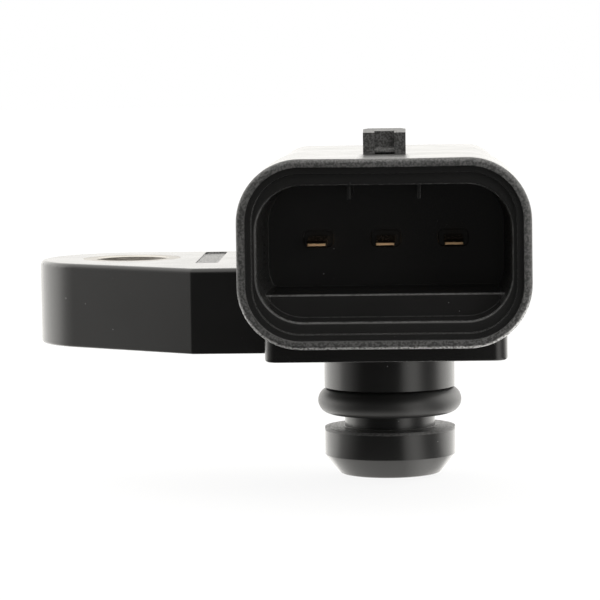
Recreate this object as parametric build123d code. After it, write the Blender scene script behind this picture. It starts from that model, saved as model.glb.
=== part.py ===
from build123d import *
from math import atan2, cos, sin
import os

# The origin is on the spigot's axis, in the plane of the seating face.
# +Z runs up through the body, the plug socket opens towards -Y and the ear points to -X.

# Mounting plate and ear
plate_height = 7.5
bolt_offset = 23.4
ear_radius = 8.35
shoulder_offset = 17.0
plate_front = 14.6
plate_corner_radius = 0.4
plate_edge_radius = 0.45
base_edge_radius = 0.25
slot_width = 2.0
slot_depth = 0.15
slot_gap_to_body = 4.8
slot_front = 7.6
slot_back = 7.2
slot_corner_radius = 0.3

# Bush in the ear
bolt_hole_diameter = 6.5
bush_wall = 1.2
bush_chamfer = 0.1
bush_groove_width = 1.6
bush_groove_depth = 0.35

# Body under and behind the socket
body_width = 20.6
body_front = 22.95
body_back = 8.35
body_corner_radius = 0.8
block_corner_radius = 1.2
wall_top = 15.0
overlap = 1.0

# Plug socket
socket_front = 27.5
socket_back = 11.4
shroud_width = 24.6
shroud_bottom = 1.5
shroud_top = 17.5
shroud_radius = 5.3
shroud_sag = 0.14
lip_width = 0.7
lip_radius = 0.4
step_width = 0.55
step_depth = 0.5
step_count = 2
mouth_half_width = 10.65
mouth_bottom = 3.75
mouth_top = 15.15
mouth_radius = 3.8
inner_edge_radius = 0.25
cavity_back = 13.7
cavity_draft = 1.7
ledge_top = 5.8
ledge_setback = 3.5
ledge_radius = 0.2

# Ribs that key the plug between the blades
key_rib_height = 1.25
key_rib_thickness = 0.3
key_rib_setback = 1.6

# Blade terminals
blade_count = 3
blade_pitch = 5.87
blade_height = 9.8
blade_width = 1.6
blade_thickness = 0.64
blade_tip = 20.0
blade_inner_end = 5.4
tip_chamfer_length = 0.8
tip_thickness = 0.18
tip_side_chamfer = 0.1
anchor_width = 2.5
anchor_length = 1.1
anchor_setback = 1.3
root_pocket_width = 2.6
root_pocket_height = 1.45
root_pocket_depth = 0.5
root_pocket_radius = 0.45
root_pocket_rise = 0.1

# Latch nose on the socket's roof
latch_front = 17.6
latch_length = 2.6
latch_width = 3.65
latch_front_height = 1.72
latch_back_height = 2.02
latch_slot_width = 1.7
latch_slot_depth = 0.9
latch_slot_fillet = 0.45
latch_corner_chamfer = 0.45

# Spigot and its seal
spigot_diameter = 11.9
collar_length = 4.45
groove_end = 8.13
land_end = 10.63
spigot_length = 12.4
spigot_tip_radius = 4.55
spigot_tip_fillet = 0.4
seal_inner_diameter = 8.3
seal_section = 2.4
seal_clearance = 0.03
port_diameter = 3.6
port_throat_diameter = 2.2
port_throat_height = 6.0
port_throat_slope = 0.7
port_mouth_chamfer = 0.3

# Cored slots in the underside of the body
core_slot_count = 4
core_slot_width = 3.5
core_rib = 1.25
core_front_wall = 1.6
core_back = 9.6
core_roof = 1.3
core_draft = 1.5
core_radius = 0.6

# Measuring chamber and its cover
chamber_front = 9.2
chamber_back = 6.3
chamber_side_clearance = 1.03
chamber_radius = 1.0
cover_drop = 0.2
cover_shoulder_radius = 3.1
cover_roof = 1.3
cover_back_radius = 1.0
cover_lip_depth = 0.9
cover_lip_wall = 0.9
cover_clearance = 0.1
vent_diameter = 1.0
vent_offset = 2.5
membrane_diameter = 3.6
membrane_thickness = 0.2

# Circuit carrier and what it carries
board_thickness = 0.8
board_clearance = 0.4
board_hole_diameter = 1.8
bead_thickness = 0.25
bead_width = 1.4
bead_inner_diameter = 5.0
glass_size = 3.0
glass_height = 1.2
glass_hole_diameter = 1.0
die_height = 0.4
die_pocket_size = 1.6
die_etch_angle = 35.3
diaphragm_thickness = 0.08
dam_size = 7.4
dam_wall = 0.6
dam_radius = 1.0
dam_height = 2.9
gel_height = 2.3
wire_size = 0.1
wire_count = 4
wire_inset = 0.3
wire_pad_reach = 2.55
wire_rise = 0.35
wire_pitch = 0.6
chip_size = (2.4, 3.8)
chip_height = 0.9
chip_offset = 1.2
chip_bevel = 0.1
chip_mark_inset = 0.5
chip_mark_diameter = 0.35
capacitor_count = 4
capacitor_size = (1.6, 0.8)
capacitor_pitch = 1.8
cap_length = 0.35
cap_step = 0.05
solder_length = 0.7
solder_height = 0.5
solder_radius = 0.9

# Values worked out from the ones above
cover_top = shroud_top - cover_drop
spigot_radius = spigot_diameter / 2
bush_radius = bolt_hole_diameter / 2 + bush_wall
body_half = body_width / 2
shroud_half = shroud_width / 2
board_top = blade_height - blade_thickness / 2
board_bottom = board_top - board_thickness
chamber_floor = board_bottom - bead_thickness
blade_row_half = (blade_count - 1) / 2 * blade_pitch + blade_width / 2
chamber_half_width = blade_row_half + chamber_side_clearance
board_half_width = chamber_half_width - board_clearance
glass_top = board_top + glass_height
die_top = glass_top + die_height
side_bay = (dam_size / 2 + board_half_width) / 2
blade_places = [(i - (blade_count - 1) / 2) * blade_pitch for i in range(blade_count)]
rib_places = [x + blade_pitch / 2 for x in blade_places[:-1]]
inner_edge_front = socket_front - step_count * step_depth
core_depth = mouth_bottom - core_roof


def upright(depth):
    """A sketch plane across the socket: x to the right, y up, at a distance in front of the origin."""
    return Plane(origin=(0, -depth, 0), x_dir=(1, 0, 0), z_dir=(0, -1, 0))


def shroud_face(inset, corner_radius):
    """The socket's rounded outline with its slightly sagging roof, moved inwards by an inset."""
    half = shroud_half - inset
    bottom = shroud_bottom + inset
    top = shroud_top - inset
    with BuildSketch() as outline:
        with BuildLine():
            Polyline((half, top), (half, bottom), (-half, bottom), (-half, top))
            ThreePointArc((-half, top), (0, top - shroud_sag), (half, top))
        make_face()
        fillet(outline.vertices(), corner_radius)
    return outline.sketch


def plate():
    """The thick mounting plate: a round ear that widens to a shoulder and runs into the body."""
    with BuildPart() as part:
        with BuildSketch():
            with Locations((-bolt_offset, 0)):
                Circle(ear_radius)
            with BuildLine():
                Polyline(
                    (-shoulder_offset, -plate_front),
                    (0, -plate_front),
                    (0, body_back),
                    (-bolt_offset, body_back),
                    close=True,
                )
            make_face()
            make_hull()
        extrude(amount=plate_height)
        front_corners = part.edges().filter_by(Axis.Z).group_by(Axis.Y)[0]
        fillet(front_corners, plate_corner_radius)
        fillet(part.faces().sort_by(Axis.Z)[-1].edges(), plate_edge_radius)
        fillet(part.faces().sort_by(Axis.Z)[0].edges(), base_edge_radius)
    return part.part


def ear_slot():
    """The shallow slot moulded into the plate's top, between the bush and the body."""
    length = slot_front + slot_back
    middle = (slot_back - slot_front) / 2
    with BuildPart() as part:
        with BuildSketch(Plane.XY.offset(plate_height - slot_depth)):
            with Locations((-body_half - slot_gap_to_body - slot_width / 2, middle)):
                RectangleRounded(slot_width, length, slot_corner_radius)
        extrude(amount=slot_depth)
    return part.part


def body():
    """The block behind the socket, and the lower block that reaches forward under it."""
    with BuildPart() as part:
        with BuildSketch():
            with Locations((0, (body_back - socket_back) / 2)):
                Rectangle(body_width, body_back + socket_back)
        extrude(amount=wall_top)
        back_corners = part.edges().filter_by(Axis.Z).group_by(Axis.Y)[-1]
        fillet(back_corners, body_corner_radius)
        with BuildSketch():
            with Locations((0, -(body_front + socket_back) / 2)):
                Rectangle(body_width, body_front - socket_back)
        extrude(amount=mouth_bottom)
        block_corners = part.edges().filter_by(Axis.Z).group_by(Axis.Y)[0]
        fillet(block_corners, block_corner_radius)
        fillet(part.faces().sort_by(Axis.Z)[0].edges(), base_edge_radius)
    return part.part


def shroud():
    """The solid of the socket, with its rounded lip, before it is hollowed."""
    with BuildPart() as part:
        with BuildSketch(upright(socket_back)):
            add(shroud_face(0, shroud_radius))
        extrude(amount=socket_front - socket_back)
        fillet(part.faces().sort_by(Axis.Y)[0].edges(), lip_radius)
    return part.part


def mouth_steps():
    """The stepped lead-in that goes down from the lip to the inner edge."""
    with BuildPart() as part:
        for step in range(step_count):
            inset = lip_width + step * step_width
            with BuildSketch(upright(socket_front - (step + 1) * step_depth)):
                add(shroud_face(inset, shroud_radius - inset))
            extrude(amount=step_depth)
    return part.part


def cavity():
    """The tapering space for the plug, above the ledge along its bottom, less the key ribs."""
    depth = inner_edge_front - cavity_back
    height = mouth_top - mouth_bottom
    ledge_front = inner_edge_front - ledge_setback
    with BuildPart() as part:
        with BuildSketch(upright(inner_edge_front)):
            with Locations((0, (mouth_top + mouth_bottom) / 2)):
                RectangleRounded(2 * mouth_half_width, height, mouth_radius)
        extrude(amount=-depth, taper=cavity_draft)
        ledge_depth = ledge_front - cavity_back
        with Locations((0, -cavity_back - ledge_depth / 2, (mouth_bottom + ledge_top) / 2)):
            Box(shroud_width, ledge_depth, ledge_top - mouth_bottom, mode=Mode.SUBTRACT)
        long_edges = part.edges().filter_by(Axis.X)
        fillet(long_edges.sort_by_distance((0, -ledge_front, ledge_top))[0], ledge_radius)
        rib_depth = depth - key_rib_setback
        for x in rib_places:
            with Locations((x, -cavity_back - rib_depth / 2, mouth_top - key_rib_height / 2)):
                Box(key_rib_thickness, rib_depth, key_rib_height, mode=Mode.SUBTRACT)
    return part.part


def plug_space():
    """The stepped mouth and the cavity as one space, rounded where the two meet."""
    with BuildPart() as part:
        add(mouth_steps())
        add(cavity())
        edge_place = (0, -inner_edge_front, mouth_bottom)
        step_face = part.faces().filter_by(Axis.Y).sort_by_distance(edge_place)[0]
        fillet(step_face.inner_wires()[0].edges(), inner_edge_radius)
    return part.part


def root_pockets():
    """The small rounded recesses round the roots of the blades."""
    with BuildPart() as part:
        with BuildSketch(upright(cavity_back - root_pocket_depth)):
            with Locations([(x, blade_height + root_pocket_rise) for x in blade_places]):
                RectangleRounded(root_pocket_width, root_pocket_height, root_pocket_radius)
        extrude(amount=root_pocket_depth)
    return part.part


def latch():
    """The nose that the plug's clip snaps over: two posts, a web behind them and a rising roof."""
    base = shroud_top - overlap
    front = -latch_front
    back = front + latch_length
    with BuildPart() as part:
        with BuildSketch(Plane.YZ):
            with BuildLine():
                Polyline(
                    (front, base),
                    (front, shroud_top + latch_front_height),
                    (back, shroud_top + latch_back_height),
                    (back, base),
                    close=True,
                )
            make_face()
        extrude(amount=latch_width / 2, both=True)
        corners = part.edges().filter_by(Axis.Z).group_by(Axis.Y)[-1]
        chamfer(corners, latch_corner_chamfer)
        slot_back_face = front + latch_slot_depth
        roof = shroud_top + latch_back_height + overlap
        with BuildSketch(Plane.YZ):
            with BuildLine():
                Polyline(
                    (front - overlap, base),
                    (front - overlap, roof),
                    (slot_back_face, roof),
                    (slot_back_face, base),
                    close=True,
                )
            make_face()
        extrude(amount=latch_slot_width / 2, both=True, mode=Mode.SUBTRACT)
        with BuildSketch(Plane.YZ):
            with BuildLine():
                low = (slot_back_face - latch_slot_fillet, shroud_top)
                high = (slot_back_face, shroud_top + latch_slot_fillet)
                corner = (slot_back_face, shroud_top)
                Line(high, corner)
                Line(corner, low)
                RadiusArc(low, high, latch_slot_fillet)
            make_face()
        extrude(amount=latch_slot_width / 2, both=True)
    return part.part


def spigot():
    """The turned form of the port: collar, seal groove, land and tapered tip."""
    groove_radius = seal_inner_diameter / 2 - seal_clearance
    with BuildPart() as part:
        with BuildSketch(Plane.XZ) as profile:
            with BuildLine():
                Polyline(
                    (0, overlap),
                    (spigot_radius, overlap),
                    (spigot_radius, -collar_length),
                    (groove_radius, -collar_length),
                    (groove_radius, -groove_end),
                    (spigot_radius, -groove_end),
                    (spigot_radius, -land_end),
                    (spigot_tip_radius, -spigot_length),
                    (0, -spigot_length),
                    close=True,
                )
            make_face()
            tip = profile.vertices().group_by(Axis.Y)[0].sort_by(Axis.X)[-1]
            fillet(tip, spigot_tip_fillet)
        revolve(axis=Axis.Z)
    return part.part


def port():
    """The passage up the spigot, which narrows before it reaches the chamber's floor."""
    with BuildPart() as part:
        with BuildSketch(Plane.XZ):
            with BuildLine():
                mouth_radius_wide = port_diameter / 2 + port_mouth_chamfer
                Polyline(
                    (0, -spigot_length),
                    (mouth_radius_wide, -spigot_length),
                    (port_diameter / 2, -spigot_length + port_mouth_chamfer),
                    (port_diameter / 2, port_throat_height),
                    (port_throat_diameter / 2, port_throat_height + port_throat_slope),
                    (port_throat_diameter / 2, chamber_floor),
                    (0, chamber_floor),
                    close=True,
                )
            make_face()
        revolve(axis=Axis.Z)
    return part.part


def chamber():
    """The open-topped room over the spigot that holds the sensing circuit."""
    with BuildPart() as part:
        with BuildSketch(Plane.XY.offset(chamber_floor)):
            add(room_outline(0))
        extrude(amount=wall_top - chamber_floor)
    return part.part


def core_slots():
    """Tapered slots in the underside that keep the moulding's walls even."""
    length = body_front - core_front_wall - core_back
    middle = -(core_back + length / 2)
    pitch = core_slot_width + core_rib
    with BuildPart() as part:
        with BuildSketch():
            with Locations((0, middle)):
                with GridLocations(pitch, 0, core_slot_count, 1):
                    RectangleRounded(core_slot_width, length, core_radius)
        extrude(amount=core_depth, taper=core_draft)
    return part.part


def bush_blank():
    """The bush without its bore, which is also the space that it fills in the ear."""
    with BuildPart() as part:
        with BuildSketch(Plane.XZ):
            with BuildLine():
                groove_low = (plate_height - bush_groove_width) / 2
                groove_high = (plate_height + bush_groove_width) / 2
                Polyline(
                    (0, 0),
                    (bush_radius, 0),
                    (bush_radius, groove_low),
                    (bush_radius - bush_groove_depth, groove_low),
                    (bush_radius - bush_groove_depth, groove_high),
                    (bush_radius, groove_high),
                    (bush_radius, plate_height),
                    (0, plate_height),
                    close=True,
                )
            make_face()
        revolve(axis=Axis.Z)
    return Pos(-bolt_offset, 0, 0) * part.part


def mounting_bush():
    """The metal sleeve that takes the screw's clamping force."""
    with BuildPart() as part:
        add(bush_blank())
        with Locations((-bolt_offset, 0, plate_height / 2)):
            Cylinder(bolt_hole_diameter / 2, plate_height, mode=Mode.SUBTRACT)
        circles = part.edges().filter_by(GeomType.CIRCLE)
        chamfer(circles.filter_by(lambda edge: edge.radius < bush_radius - bush_wall / 2), bush_chamfer)
    return part.part


def terminal(x):
    """One stamped blade: coined tip in the socket, anchor in the wall, tail on the board."""
    length = blade_tip - blade_inner_end
    with BuildPart() as part:
        with Locations((x, -(blade_tip + blade_inner_end) / 2, blade_height)):
            Box(blade_width, length, blade_thickness)
        tip_face = part.faces().sort_by(Axis.Y)[0]
        flat_edges = tip_face.edges().filter_by(Axis.X)
        coin = (blade_thickness - tip_thickness) / 2
        chamfer(flat_edges, coin, tip_chamfer_length, reference=tip_face)
        coined_face = part.faces().sort_by(Axis.Y)[0]
        chamfer(coined_face.edges().filter_by(Axis.Z), tip_side_chamfer)
        anchor_middle = -(cavity_back - anchor_setback - anchor_length / 2)
        with Locations((x, anchor_middle, blade_height)):
            Box(anchor_width, anchor_length, blade_thickness)
    return part.part


def housing():
    """The one-piece moulding, hollowed for the plug, the circuit, the port and the inserts."""
    with BuildPart() as part:
        add(plate())
        add(body())
        add(shroud())
        add(latch())
        add(spigot())
        add(ear_slot(), mode=Mode.SUBTRACT)
        add(plug_space(), mode=Mode.SUBTRACT)
        add(root_pockets(), mode=Mode.SUBTRACT)
        add(chamber(), mode=Mode.SUBTRACT)
        add(port(), mode=Mode.SUBTRACT)
        add(core_slots(), mode=Mode.SUBTRACT)
        add(bush_blank(), mode=Mode.SUBTRACT)
        for x in blade_places:
            add(terminal(x), mode=Mode.SUBTRACT)
    return part.part


def room_outline(inset):
    """The rounded outline of the chamber, moved inwards by an inset."""
    with BuildSketch() as outline:
        with Locations((0, (chamber_back - chamber_front) / 2)):
            RectangleRounded(
                2 * (chamber_half_width - inset),
                chamber_front + chamber_back - 2 * inset,
                chamber_radius,
            )
    return outline.sketch


def cover():
    """The cap welded over the chamber, with a lip that locates in it and a vent to the air."""
    height = cover_top - wall_top
    rise = (2 * cover_shoulder_radius * height - height**2) ** 0.5
    flat_half = body_half - rise
    mid_angle = atan2(rise, cover_shoulder_radius - height) / 2
    mid_x = flat_half + cover_shoulder_radius * sin(mid_angle)
    mid_z = cover_top - cover_shoulder_radius * (1 - cos(mid_angle))
    with BuildPart() as part:
        with BuildSketch(upright(socket_back)):
            with BuildLine():
                Line((-flat_half, cover_top), (flat_half, cover_top))
                ThreePointArc((flat_half, cover_top), (mid_x, mid_z), (body_half, wall_top))
                Line((body_half, wall_top), (-body_half, wall_top))
                ThreePointArc((-body_half, wall_top), (-mid_x, mid_z), (-flat_half, cover_top))
            make_face()
        extrude(amount=-(socket_back + body_back))
        back_edges = part.faces().sort_by(Axis.Y)[-1].edges()
        fillet(back_edges.sort_by(Axis.Z)[1:], cover_back_radius)
        with BuildSketch(Plane.XY.offset(wall_top)):
            add(room_outline(cover_clearance + cover_lip_wall))
        extrude(amount=height - cover_roof, mode=Mode.SUBTRACT)
        with BuildSketch(Plane.XY.offset(wall_top - cover_lip_depth)):
            add(room_outline(cover_clearance))
            add(room_outline(cover_clearance + cover_lip_wall), mode=Mode.SUBTRACT)
        extrude(amount=cover_lip_depth)
        with Locations((0, vent_offset, cover_top - cover_roof / 2)):
            Cylinder(vent_diameter / 2, cover_roof, mode=Mode.SUBTRACT)
    return part.part


def vent_membrane():
    """The disc bonded under the vent, which lets air through and keeps water out."""
    with BuildPart() as part:
        with Locations((0, vent_offset, cover_top - cover_roof - membrane_thickness / 2)):
            Cylinder(membrane_diameter / 2, membrane_thickness)
    return part.part


def o_ring():
    """The seal, lying against the upper side of its groove."""
    height = -collar_length - seal_clearance - seal_section / 2
    ring_radius = (seal_inner_diameter + seal_section) / 2
    return Pos(0, 0, height) * Torus(ring_radius, seal_section / 2)


def sealing_bead():
    """The ring of adhesive that seals the circuit board to the floor round the port."""
    with BuildPart() as part:
        with BuildSketch(Plane.XY.offset(chamber_floor)):
            Circle(bead_inner_diameter / 2 + bead_width)
            Circle(bead_inner_diameter / 2, mode=Mode.SUBTRACT)
        extrude(amount=bead_thickness)
    return part.part


def circuit_board():
    """The ceramic plate over the port, with a hole that leads the vapour to the sensing die."""
    with BuildPart() as part:
        with BuildSketch(Plane.XY.offset(board_bottom)):
            add(room_outline(board_clearance))
            Circle(board_hole_diameter / 2, mode=Mode.SUBTRACT)
        extrude(amount=board_thickness)
    return part.part


def glass_pedestal():
    """The drilled glass block that carries the die."""
    with BuildPart() as part:
        with BuildSketch(Plane.XY.offset(board_top)):
            Rectangle(glass_size, glass_size)
            Circle(glass_hole_diameter / 2, mode=Mode.SUBTRACT)
        extrude(amount=glass_height)
    return part.part


def pressure_die():
    """The silicon die, etched from below until only the diaphragm is left."""
    with BuildPart() as part:
        with BuildSketch(Plane.XY.offset(glass_top)):
            Rectangle(glass_size, glass_size)
        extrude(amount=die_height)
        with BuildSketch(Plane.XY.offset(glass_top)):
            Rectangle(die_pocket_size, die_pocket_size)
        extrude(amount=die_height - diaphragm_thickness, taper=die_etch_angle, mode=Mode.SUBTRACT)
    return part.part


def bond_wires():
    """The fine ribbons that arch from the die down to the board."""
    start = -(glass_size / 2 - wire_inset)
    wires = []
    for i in range(wire_count):
        x = (i - (wire_count - 1) / 2) * wire_pitch
        with BuildPart() as part:
            with BuildSketch(Plane.YZ.offset(x)):
                with BuildLine():
                    middle = ((start - wire_pad_reach) / 2, die_top + wire_rise)
                    ThreePointArc((start, die_top), middle, (-wire_pad_reach, board_top))
                trace(line_width=wire_size)
            extrude(amount=wire_size / 2, both=True)
        wires.append(part.part - pressure_die() - circuit_board())
    return Compound(children=[wire.solids()[0] for wire in wires])


def gel_dam():
    """The square frame that holds the gel round the die."""
    with BuildPart() as part:
        with BuildSketch(Plane.XY.offset(board_top)):
            RectangleRounded(dam_size, dam_size, dam_radius)
            opening = dam_size - 2 * dam_wall
            RectangleRounded(opening, opening, dam_radius - dam_wall, mode=Mode.SUBTRACT)
        extrude(amount=dam_height)
    return part.part


def protective_gel():
    """The soft gel over the die and its wires."""
    opening = dam_size - 2 * dam_wall
    with BuildPart() as part:
        with BuildSketch(Plane.XY.offset(board_top)):
            RectangleRounded(opening, opening, dam_radius - dam_wall)
            Rectangle(glass_size, glass_size, mode=Mode.SUBTRACT)
        extrude(amount=gel_height)
        with BuildSketch(Plane.XY.offset(die_top)):
            Rectangle(glass_size, glass_size)
        extrude(amount=board_top + gel_height - die_top)
        add(bond_wires(), mode=Mode.SUBTRACT)
    return part.part


def signal_chip():
    """The amplifier chip beside the dam, with its corner mark."""
    width, length = chip_size
    with BuildPart() as part:
        with Locations((side_bay, chip_offset, board_top + chip_height / 2)):
            Box(width, length, chip_height)
        chamfer(part.faces().sort_by(Axis.Z)[-1].edges(), chip_bevel)
        mark_x = side_bay - width / 2 + chip_mark_inset
        mark_y = chip_offset - length / 2 + chip_mark_inset
        with Locations((mark_x, mark_y, board_top + chip_height)):
            Cylinder(chip_mark_diameter / 2, chip_bevel, mode=Mode.SUBTRACT)
    return part.part


def capacitor(y):
    """A chip capacitor: a body a little slimmer than its two end caps."""
    length, width = capacitor_size
    middle = board_top + width / 2
    with BuildPart() as part:
        with Locations((-side_bay, y, middle)):
            Box(length, width - 2 * cap_step, width - 2 * cap_step)
        end_place = (length - cap_length) / 2
        with Locations((-side_bay - end_place, y, middle), (-side_bay + end_place, y, middle)):
            Box(cap_length, width, width)
    return part.part


def solder_joints():
    """The fillets of solder that join the blades' tails to the board."""
    joints = []
    for x in blade_places:
        with BuildPart() as part:
            with BuildSketch(Plane.YZ.offset(x)):
                with BuildLine():
                    foot = (-blade_inner_end, board_top)
                    toe = (-blade_inner_end + solder_length, board_top)
                    peak = (-blade_inner_end, board_top + solder_height)
                    Line(peak, foot)
                    Line(foot, toe)
                    RadiusArc(toe, peak, solder_radius)
                make_face()
            extrude(amount=blade_width / 2, both=True)
        joints.append(part.part)
    return Compound(children=[joint.solids()[0] for joint in joints])


os.makedirs("parts", exist_ok=True)
nodes = {
    "housing": housing(),
    "cover": cover(),
    "vent_membrane": vent_membrane(),
    "mounting_bush": mounting_bush(),
    "o_ring": o_ring(),
    "sealing_bead": sealing_bead(),
    "circuit_board": circuit_board(),
    "glass_pedestal": glass_pedestal(),
    "pressure_die": pressure_die(),
    "bond_wires": bond_wires(),
    "gel_dam": gel_dam(),
    "protective_gel": protective_gel(),
    "signal_chip": signal_chip(),
    "solder_joints": solder_joints(),
}
for number, x in enumerate(blade_places, start=1):
    nodes[f"terminal_{number}"] = terminal(x)
for number in range(1, capacitor_count + 1):
    row_place = (number - (capacitor_count + 1) / 2) * capacitor_pitch
    nodes[f"capacitor_{number}"] = capacitor(chip_offset + row_place)
for name, solid in nodes.items():
    export_step(solid, f"parts/{name}.step")
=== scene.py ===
import math

import bmesh
import bpy
from mathutils import Matrix, Vector


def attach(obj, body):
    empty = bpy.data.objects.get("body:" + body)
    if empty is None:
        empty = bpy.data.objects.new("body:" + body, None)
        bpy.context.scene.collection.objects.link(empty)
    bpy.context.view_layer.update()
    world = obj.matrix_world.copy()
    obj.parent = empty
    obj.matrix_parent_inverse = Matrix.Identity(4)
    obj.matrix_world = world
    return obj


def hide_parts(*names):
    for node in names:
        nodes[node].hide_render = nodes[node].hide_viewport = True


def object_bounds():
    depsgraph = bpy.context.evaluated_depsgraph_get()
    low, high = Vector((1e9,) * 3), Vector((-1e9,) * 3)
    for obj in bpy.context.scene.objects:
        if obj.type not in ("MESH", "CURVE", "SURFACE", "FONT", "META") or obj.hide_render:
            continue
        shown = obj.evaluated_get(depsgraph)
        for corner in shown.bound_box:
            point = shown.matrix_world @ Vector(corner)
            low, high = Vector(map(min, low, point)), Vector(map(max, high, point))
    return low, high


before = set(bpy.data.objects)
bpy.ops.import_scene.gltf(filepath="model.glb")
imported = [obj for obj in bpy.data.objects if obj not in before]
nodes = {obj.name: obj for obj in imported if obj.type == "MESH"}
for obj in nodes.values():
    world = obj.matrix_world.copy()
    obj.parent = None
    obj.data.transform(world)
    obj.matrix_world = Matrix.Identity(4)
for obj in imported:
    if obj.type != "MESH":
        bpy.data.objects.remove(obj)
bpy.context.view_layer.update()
scene = bpy.context.scene
mm = 0.001
print("frame loaded:", len(nodes), "nodes")


# Shader expressions
class Wire:
    def __init__(self, paint, socket):
        self.paint = paint
        self.socket = socket

    def math(self, operation, *others):
        sockets = dict(enumerate((self, *others)))
        return self.paint.node("ShaderNodeMath", {"operation": operation}, sockets)

    def __add__(self, other):
        return self.math("ADD", other)

    def __sub__(self, other):
        return self.math("SUBTRACT", other)

    def __rsub__(self, other):
        return self.paint.node("ShaderNodeMath", {"operation": "SUBTRACT"}, {0: other, 1: self})

    def __mul__(self, other):
        return self.math("MULTIPLY", other)

    def __neg__(self):
        return self.math("MULTIPLY", -1.0)

    def between(self, low, high):
        sockets = {"Value": self, "From Min": low, "From Max": high}
        return self.paint.node("ShaderNodeMapRange", {"interpolation_type": "SMOOTHSTEP"}, sockets)


class Paint:
    def __init__(self, tree):
        self.tree = tree
        tree.nodes.clear()

    def node(self, kind, settings=None, sockets=None, output=0):
        made = self.tree.nodes.new(kind)
        for name, value in (settings or {}).items():
            setattr(made, name, value)
        for name, value in (sockets or {}).items():
            if isinstance(value, Wire):
                self.tree.links.new(value.socket, made.inputs[name])
            else:
                made.inputs[name].default_value = value
        return Wire(self, made.outputs[output]) if made.outputs else None

    def place(self):
        return self.node("ShaderNodeTexCoord", output="Object")

    def axes(self, vector):
        parts = self.node("ShaderNodeSeparateXYZ", {}, {0: vector}).socket.node.outputs
        return [Wire(self, part) for part in parts]

    def noise(self, vector, size, detail=3.0):
        sockets = {"Vector": vector, "Scale": 1 / size, "Detail": detail}
        return self.node("ShaderNodeTexNoise", {}, sockets)

    def blend(self, factor, low, high):
        return self.node("ShaderNodeMix", {"data_type": "RGBA"}, {0: factor, 6: low, 7: high}, 2)

    def level(self, factor, low, high):
        return self.node("ShaderNodeMix", {"data_type": "FLOAT"}, {0: factor, 2: low, 3: high})

    def bump(self, height, distance, strength, normal):
        sockets = {"Height": height, "Distance": distance, "Strength": strength, "Normal": normal}
        return self.node("ShaderNodeBump", {}, sockets)

    def specks(self, vector, look):
        sockets = {"Vector": vector, "Scale": 1 / (look["cell"] * mm)}
        reach = self.node("ShaderNodeTexVoronoi", {}, sockets, "Distance")
        luck = self.node("ShaderNodeTexVoronoi", {}, sockets, "Color")
        drawn = self.node("ShaderNodeSeparateColor", {}, {0: luck})
        shown = 1.0 - reach.between(look["core"] * look["radius"], look["radius"])
        return shown * drawn.between(1 - look["share"], 1 + look["fade"] - look["share"])

    def slab(self, value, low, high, soft):
        return value.between(low - soft, low) * (1.0 - value.between(high, high + soft))


def grey(level):
    return (level, level, level, 1.0)


def newMaterial(name):
    material = bpy.data.materials.new(name)
    material.use_nodes = True
    return material, Paint(material.node_tree)


# Camera, placed where the photograph was taken from: millimetres and radians
cameraView = {
    "place": (3.62, -300.19, 27.87),
    "pan": -0.039,
    "tilt": 0.081,
    "roll": -0.014,
    "focalPixels": 3297.0,
    "imagePixels": 600,
    "sensor": 36.0,
    "clipStart": 10.0,
    "clipEnd": 20000.0,
}


def makeCamera(view):
    pan, tilt, roll = view["pan"], view["tilt"], view["roll"]
    ahead = Vector((math.sin(pan) * math.cos(tilt), math.cos(pan) * math.cos(tilt), -math.sin(tilt)))
    level = Vector((math.cos(pan), -math.sin(pan), 0))
    upward = level.cross(ahead)
    right = math.cos(roll) * level + math.sin(roll) * upward
    upright = math.cos(roll) * upward - math.sin(roll) * level
    turn = Matrix((right, upright, -ahead)).transposed().to_4x4()
    data = bpy.data.cameras.new("photoCamera")
    data.sensor_width = view["sensor"]
    data.lens = view["focalPixels"] / view["imagePixels"] * view["sensor"]
    data.clip_start = view["clipStart"] * mm
    data.clip_end = view["clipEnd"] * mm
    camera = bpy.data.objects.new("photoCamera", data)
    camera.matrix_world = Matrix.Translation(Vector(view["place"]) * mm) @ turn
    scene.collection.objects.link(camera)
    scene.camera = camera


makeCamera(cameraView)
scene.view_settings.view_transform = "Standard"
print("camera placed")


# White tent round the object, with a dark gap where the camera stands.
# Each pair is a heading in degrees, 0 towards the camera and positive to its right, and a level.
tent = {
    "ring": [
        (-180, 1.9), (-165, 2.0), (-150, 2.5), (-112, 3.3), (-98, 3.0), (-88, 1.4), (-78, 1.1),
        (-70, 0.78), (-60, 0.4), (-48, 0.12), (18, 0.12), (27, 1.5), (38, 2.3), (49, 2.0), (60, 0.7),
        (72, 0.4), (86, 0.8), (97, 2.5), (106, 3.2), (125, 3.5), (150, 2.8), (165, 2.0), (180, 1.9),
    ],
    "tint": (1.0, 0.985, 0.95, 1.0),
    "top": 2.0,
    "topStart": 0.35,
    "topEnd": 0.8,
    "floorShare": 0.8,
    "floorNear": (10.0, 20.0),
    "floorNearLevel": 2.1,
    "floorGap": 0.3,
    "floorSize": 3.0,
    "floorGlow": 0.9,
    "floorColor": 0.9,
}


def ringLevel(paint, x, y):
    peak = max(level for _, level in tent["ring"])
    heading = x.math("ARCTAN2", -y)
    turn = heading * (0.5 / math.pi) + 0.5
    ramp = paint.node("ShaderNodeValToRGB", {}, {0: turn})
    elements = ramp.socket.node.color_ramp.elements
    while len(elements) < len(tent["ring"]):
        elements.new(0.5)
    for element, (degrees, _) in zip(elements, tent["ring"]):
        element.position = degrees / 360 + 0.5
    for element, (_, level) in zip(elements, tent["ring"]):
        element.color = grey(level / peak)
    return ramp * peak


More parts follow.
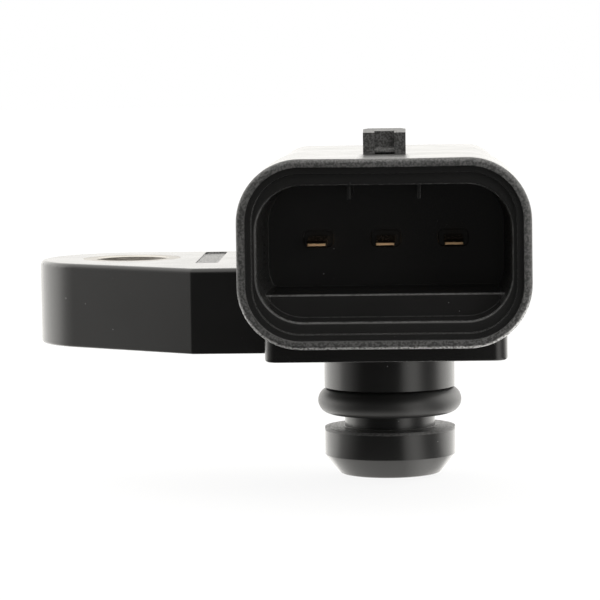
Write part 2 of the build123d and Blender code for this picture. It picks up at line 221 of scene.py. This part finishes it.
def makeWorld():
    world = bpy.data.worlds.new("whiteTent")
    world.use_nodes = True
    scene.world = world
    paint = Paint(world.node_tree)
    x, y, z = paint.axes(paint.node("ShaderNodeTexCoord", output="Generated"))
    around = ringLevel(paint, x, y)
    level = paint.level(z.between(tent["topStart"], tent["topEnd"]), around, tent["top"])
    seen = paint.node("ShaderNodeLightPath", output="Is Camera Ray")
    strength = paint.level(seen, level, 1.0)
    color = paint.blend(seen, tent["tint"], grey(1))
    sky = paint.node("ShaderNodeBackground", {}, {"Color": color, "Strength": strength})
    paint.node("ShaderNodeOutputWorld", {}, {"Surface": sky})


def makeFloor():
    half = tent["floorSize"] / 2
    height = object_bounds()[0].z - tent["floorGap"] * mm
    corners = [(-half, -half, height), (half, -half, height), (half, half, height), (-half, half, height)]
    mesh = bpy.data.meshes.new("floor")
    mesh.from_pydata(corners, [], [(0, 1, 2, 3)])
    floor = bpy.data.objects.new("floor", mesh)
    scene.collection.objects.link(floor)
    material, paint = newMaterial("paleFloor")
    place = paint.place()
    x, y, z = paint.axes(place)
    reach = paint.node("ShaderNodeVectorMath", {"operation": "LENGTH"}, {0: place}, "Value")
    nearEnd, farStart = [distance * mm for distance in tent["floorNear"]]
    around = ringLevel(paint, x, y) * tent["floorShare"]
    level = paint.level(reach.between(nearEnd, farStart), tent["floorNearLevel"], around)
    mirrored = paint.node("ShaderNodeEmission", {}, {"Color": tent["tint"], "Strength": level})
    matt = paint.node("ShaderNodeBsdfDiffuse", {}, {"Color": grey(tent["floorColor"])})
    glow = paint.node("ShaderNodeEmission", {}, {"Color": grey(1), "Strength": 1.0})
    shown = paint.node("ShaderNodeMixShader", {}, {0: tent["floorGlow"], 1: matt, 2: glow})
    seen = paint.node("ShaderNodeLightPath", output="Is Camera Ray")
    mixed = paint.node("ShaderNodeMixShader", {}, {0: seen, 1: mirrored, 2: shown})
    paint.node("ShaderNodeOutputMaterial", {}, {"Surface": mixed})
    mesh.materials.append(material)


makeWorld()
makeFloor()
print("studio lit")


# Black plastic: levels of grey, roughness, sizes in millimetres, and how the grain breaks up the wear and
# the painted highlights
plastic = {
    "dark": 0.009,
    "pale": 0.015,
    "scuffAndHighlightGrey": 0.11,
    "dust": 0.3,
    "paintedBright": 0.9,
    "roughness": 0.24,
    "cloudSize": 4.0,
    "cloudRoughness": 0.08,
    "scuffAndHighlightRoughness": 0.55,
    "scuffAndHighlightGain": 3.0,
    "edge": 0.1,
    "edgeSamples": 4,
    "edgeTurn": (0.02, 0.25),
    "edgeWearAndHighlight": 0.2,
    "edgeGrain": (0.35, 0.6),
    "wornAndHighlitGrain": (0.4, 0.62),
    "wornAndHighlitLeast": 0.2,
    "paintedBrightGrain": (0.3, 0.6),
    "grain": 0.18,
    "grainDetail": 4.0,
    "grainDepth": 0.003,
    "grainStrength": 0.6,
}

# Dust on the plastic: the cells in millimetres that may hold a speck, its radius and full core as
# shares, the share of cells that have one, and how strongly and how high it shows
dust = {"cell": 0.9, "radius": 0.07, "core": 0.6, "share": 0.15, "fade": 0.01, "cover": 0.7, "height": 0.6}

# The lip round the socket's mouth, in millimetres: how far back its front face is worn, and where a
# painted highlight runs along the bottom of its outline
lipWearAndHighlight = {
    "front": 27.5,
    "depth": (0.25, 0.45),
    "outline": {"half": 12.3, "low": 1.5, "high": 17.5, "radius": 5.3},
    "rimDepth": (0.12, 0.28),
    "rimTop": (3.0, 7.0),
    "rimSoft": 0.1,
}

# Worn places and painted highlights as boxes in millimetres: the distance to either side, then y and z,
# how softly each ends and how strongly it shows
wornAndHighlitBoxes = {
    "slotFloor": ((15.1, 17.0), (-7.5, 7.25), (7.2, 7.47), 0.02, 0.35),
    # Dust and a painted sheen on the socket's side walls
    "cavityWallDustAndSheen": ((9.75, 10.9), (-26.2, -13.9), (3.6, 15.3), 0.15, 0.15),
    # Painted highlights along the socket's inner edge and the ledge's front edge
    "innerEdgeHighlight": ((-1.0, 10.95), (-26.44, -26.28), (3.5, 15.4), 0.02, 0.8),
    "ledgeEdgeHighlight": ((-1.0, 10.6), (-23.1, -22.85), (5.68, 5.9), 0.02, 1.6),
    "clipPath": ((-1.0, 1.5), (-27.0, -17.6), (17.3, 17.45), 0.8, 0.3),
    "nose": ((-1.0, 1.9), (-17.7, -14.9), (17.45, 19.6), 0.05, 1.0),
    "landTop": ((-1.0, 6.2), (-6.2, 6.2), (-8.4, -8.08), 0.02, 0.45),
}
# The end wall of the ear's recess, painted bright
slotEnd = ((15.0, 17.2), (7.15, 7.3), (7.3, 7.46), 0.02, 0.4)


def boxShare(paint, x, y, z, box):
    side, depth, height, soft, share = box
    for value, (low, high) in zip((x.math("ABSOLUTE"), y, z), (side, depth, height)):
        share = paint.slab(value, low * mm, high * mm, soft * mm) * share
    return share


# How far a point of the lip lies inside the rounded outline of the socket
def outlineDepth(x, z):
    half, low, high, radius = [size * mm for size in lipWearAndHighlight["outline"].values()]
    across = (x.math("ABSOLUTE") - (half - radius)).math("MAXIMUM", 0.0)
    middle = (low + high) / 2
    straight = (high - low) / 2 - radius
    upward = ((z - middle).math("ABSOLUTE") - straight).math("MAXIMUM", 0.0)
    return radius - (across * across + upward * upward).math("SQRT")


# Painted highlight along the bottom of the lip's outline, standing in for the floor's reflection, and the
# recess end painted bright
def paintedBrightPlaces(paint, x, y, z):
    start = (lipWearAndHighlight["front"] - lipWearAndHighlight["depth"][1]) * mm
    shallow, deep = [depth * mm for depth in lipWearAndHighlight["rimDepth"]]
    low, high = [height * mm for height in lipWearAndHighlight["rimTop"]]
    facing = (-y).between(start, start + lipWearAndHighlight["rimSoft"] * mm)
    rim = (1.0 - outlineDepth(x, z).between(shallow, deep)) * facing
    return (rim * (1.0 - z.between(low, high))).math("MAXIMUM", boxShare(paint, x, y, z, slotEnd))


# The lip's worn front band and the boxes, some of them painted highlights and painted sheen, broken up by
# the grain
def wornAndHighlitPlaces(paint, x, y, z, grain):
    start, end = [(lipWearAndHighlight["front"] - depth) * mm for depth in reversed(lipWearAndHighlight["depth"])]
    wornAndHighlit = (-y).between(start, end)
    for box in wornAndHighlitBoxes.values():
        wornAndHighlit = wornAndHighlit.math("MAXIMUM", boxShare(paint, x, y, z, box))
    least = plastic["wornAndHighlitLeast"]
    return wornAndHighlit * (grain.between(*plastic["wornAndHighlitGrain"]) * (1 - least) + least)


def mouldedPlastic(name, wornAndHighlit=False):
    material, paint = newMaterial(name)
    place = paint.place()
    clouds = paint.noise(place, plastic["cloudSize"] * mm)
    grain = paint.noise(place, plastic["grain"] * mm, plastic["grainDetail"])
    normal = paint.node("ShaderNodeNewGeometry", output="Normal")
    speck = paint.specks(place, dust)
    color = paint.blend(clouds, grey(plastic["dark"]), grey(plastic["pale"]))
    stray = plastic["cloudRoughness"]
    roughness = clouds * stray + (plastic["roughness"] - stray / 2)
    if wornAndHighlit:
        flat = normal
        samples = {"samples": plastic["edgeSamples"]}
        normal = paint.node("ShaderNodeBevel", samples, {"Radius": plastic["edge"] * mm})
        turned = {"operation": "DOT_PRODUCT"}
        facing = paint.node("ShaderNodeVectorMath", turned, {0: normal, 1: flat}, "Value")
        # Edges turned away from the flat face get a lighter, rougher band: partly edge wear, partly
        # painted highlight
        turnedAway = (1.0 - facing).between(*plastic["edgeTurn"])
        scuffAndHighlight = turnedAway * grain.between(*plastic["edgeGrain"]) * plastic["edgeWearAndHighlight"]
        x, y, z = paint.axes(place)
        # Adds the worn places, among them painted highlights on the inner and ledge edges and painted
        # sheen on the socket walls
        scuffAndHighlight = scuffAndHighlight.math("MAXIMUM", wornAndHighlitPlaces(paint, x, y, z, grain))
        color = paint.blend(scuffAndHighlight, color, grey(plastic["scuffAndHighlightGrey"]))
        roughness = paint.level(scuffAndHighlight * plastic["scuffAndHighlightGain"], roughness, plastic["scuffAndHighlightRoughness"])
        # Near-white painted highlight along the bottom of the lip's outline, and the recess end painted
        # bright
        paintedBright = paintedBrightPlaces(paint, x, y, z) * grain.between(*plastic["paintedBrightGrain"])
        color = paint.blend(paintedBright, color, grey(plastic["paintedBright"]))
    color = paint.blend(speck * dust["cover"], color, grey(plastic["dust"]))
    height = grain + speck * dust["height"]
    sockets = {
        "Base Color": color,
        "Roughness": roughness,
        "Normal": paint.bump(height, plastic["grainDepth"] * mm, plastic["grainStrength"], normal),
    }
    shader = paint.node("ShaderNodeBsdfPrincipled", {}, sockets)
    paint.node("ShaderNodeOutputMaterial", {}, {"Surface": shader})
    return material


# What the plain finishes share: noise sizes in millimetres, and how far colour and roughness stray
surface = {
    "fineSize": 0.2,
    "fineDetail": 4.0,
    "broadSize": 2.4,
    "colorStray": 0.25,
    "roughStray": 0.15,
    "bumpDepth": 0.003,
    "bumpStrength": 0.5,
}


# A tip, where there is one, is dulled over its last stretch towards the front
def plainFinish(name, color, roughness, metallic=0.0, tip=None, sheen=1.0):
    material, paint = newMaterial(name)
    place = paint.place()
    fine = paint.noise(place, surface["fineSize"] * mm, surface["fineDetail"])
    broad = paint.noise(place, surface["broadSize"] * mm)
    dark = [channel * (1 - surface["colorStray"]) for channel in color]
    light = [min(1.0, channel * (1 + surface["colorStray"])) for channel in color]
    flat = paint.node("ShaderNodeNewGeometry", output="Normal")
    dullness = fine * surface["roughStray"] + (roughness - surface["roughStray"] / 2)
    if tip:
        x, y, z = paint.axes(place)
        start, end = [(tip["front"] - depth) * mm for depth in reversed(tip["depth"])]
        sheared = (-y).between(start, end)
        dullness = paint.level(sheared, dullness, tip["roughness"])
    sockets = {
        "Base Color": paint.blend(broad, (*dark, 1.0), (*light, 1.0)),
        "Roughness": dullness,
        "Metallic": metallic,
        "Specular Tint": grey(sheen),
        "Normal": paint.bump(fine, surface["bumpDepth"] * mm, surface["bumpStrength"], flat),
    }
    shader = paint.node("ShaderNodeBsdfPrincipled", {}, sockets)
    paint.node("ShaderNodeOutputMaterial", {}, {"Surface": shader})
    return material


# How triangles are merged: millimetres and degrees
merging = {"distance": 0.0002, "flatAngle": 0.3, "sharpAngle": 32}


# A copy of a node with its triangles merged, so that round faces shade evenly
def shapedCopy(node, name, material):
    shape = bmesh.new()
    shape.from_mesh(nodes[node].data)
    bmesh.ops.remove_doubles(shape, verts=shape.verts, dist=merging["distance"] * mm)
    flat = math.radians(merging["flatAngle"])
    bmesh.ops.dissolve_limit(
        shape, angle_limit=flat, verts=shape.verts, edges=shape.edges, delimit={"NORMAL"}
    )
    shape.verts.index_update()
    points = [vertex.co[:] for vertex in shape.verts]
    faces = [[vertex.index for vertex in face.verts] for face in shape.faces]
    shape.free()
    mesh = bpy.data.meshes.new(name)
    mesh.from_pydata(points, [], faces)
    mesh.materials.append(material)
    mesh.shade_smooth()
    mesh.set_sharp_from_angle(angle=math.radians(merging["sharpAngle"]))
    piece = bpy.data.objects.new(name, mesh)
    scene.collection.objects.link(piece)
    evened = piece.modifiers.new("evenNormals", "WEIGHTED_NORMAL")
    evened.keep_sharp = True
    evened.mode = "FACE_AREA_WITH_ANGLE"
    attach(piece, "root")
    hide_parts(node)


def dress(node, material):
    mesh = nodes[node].data
    mesh.materials.clear()
    mesh.materials.append(material)


shapedCopy("housing", "housingMoulding", mouldedPlastic("blackMoulding", True))
shapedCopy("cover", "coverCap", mouldedPlastic("blackCover"))

seal = {"color": (0.02, 0.02, 0.02), "roughness": 0.42}
shapedCopy("o_ring", "sealRing", plainFinish("sealRubber", **seal))

bush = {"color": (0.5, 0.48, 0.45), "roughness": 0.4, "metallic": 1.0, "sheen": 0.5}
shapedCopy("mounting_bush", "bushSleeve", plainFinish("bushSteel", **bush))

blade = {
    "color": (0.97, 0.63, 0.4),
    "roughness": 0.25,
    "metallic": 1.0,
    "tip": {"front": 20.0, "depth": (0.02, 0.1), "roughness": 0.75},
}
bladeFinish = plainFinish("bladeBronze", **blade)
for node in nodes:
    if node.startswith("terminal_"):
        dress(node, bladeFinish)

# The pieces inside: colour, roughness and how metallic each is
innerFinishes = {
    "circuit_board": ((0.78, 0.77, 0.72), 0.5, 0.0),
    "sealing_bead": ((0.3, 0.3, 0.32), 0.5, 0.0),
    "glass_pedestal": ((0.7, 0.78, 0.76), 0.2, 0.0),
    "pressure_die": ((0.3, 0.31, 0.36), 0.15, 1.0),
    "bond_wires": ((0.9, 0.68, 0.28), 0.2, 1.0),
    "gel_dam": ((0.08, 0.08, 0.09), 0.45, 0.0),
    "protective_gel": ((0.75, 0.8, 0.85), 0.1, 0.0),
    "signal_chip": ((0.03, 0.03, 0.03), 0.5, 0.0),
    "solder_joints": ((0.72, 0.72, 0.73), 0.25, 1.0),
    "capacitor": ((0.5, 0.38, 0.27), 0.5, 0.0),
    "vent_membrane": ((0.88, 0.88, 0.88), 0.8, 0.0),
}
for key, (color, roughness, metallic) in innerFinishes.items():
    finish = plainFinish(key + "Finish", color, roughness, metallic)
    for node in nodes:
        if node.startswith(key):
            dress(node, finish)
print("finishes made")
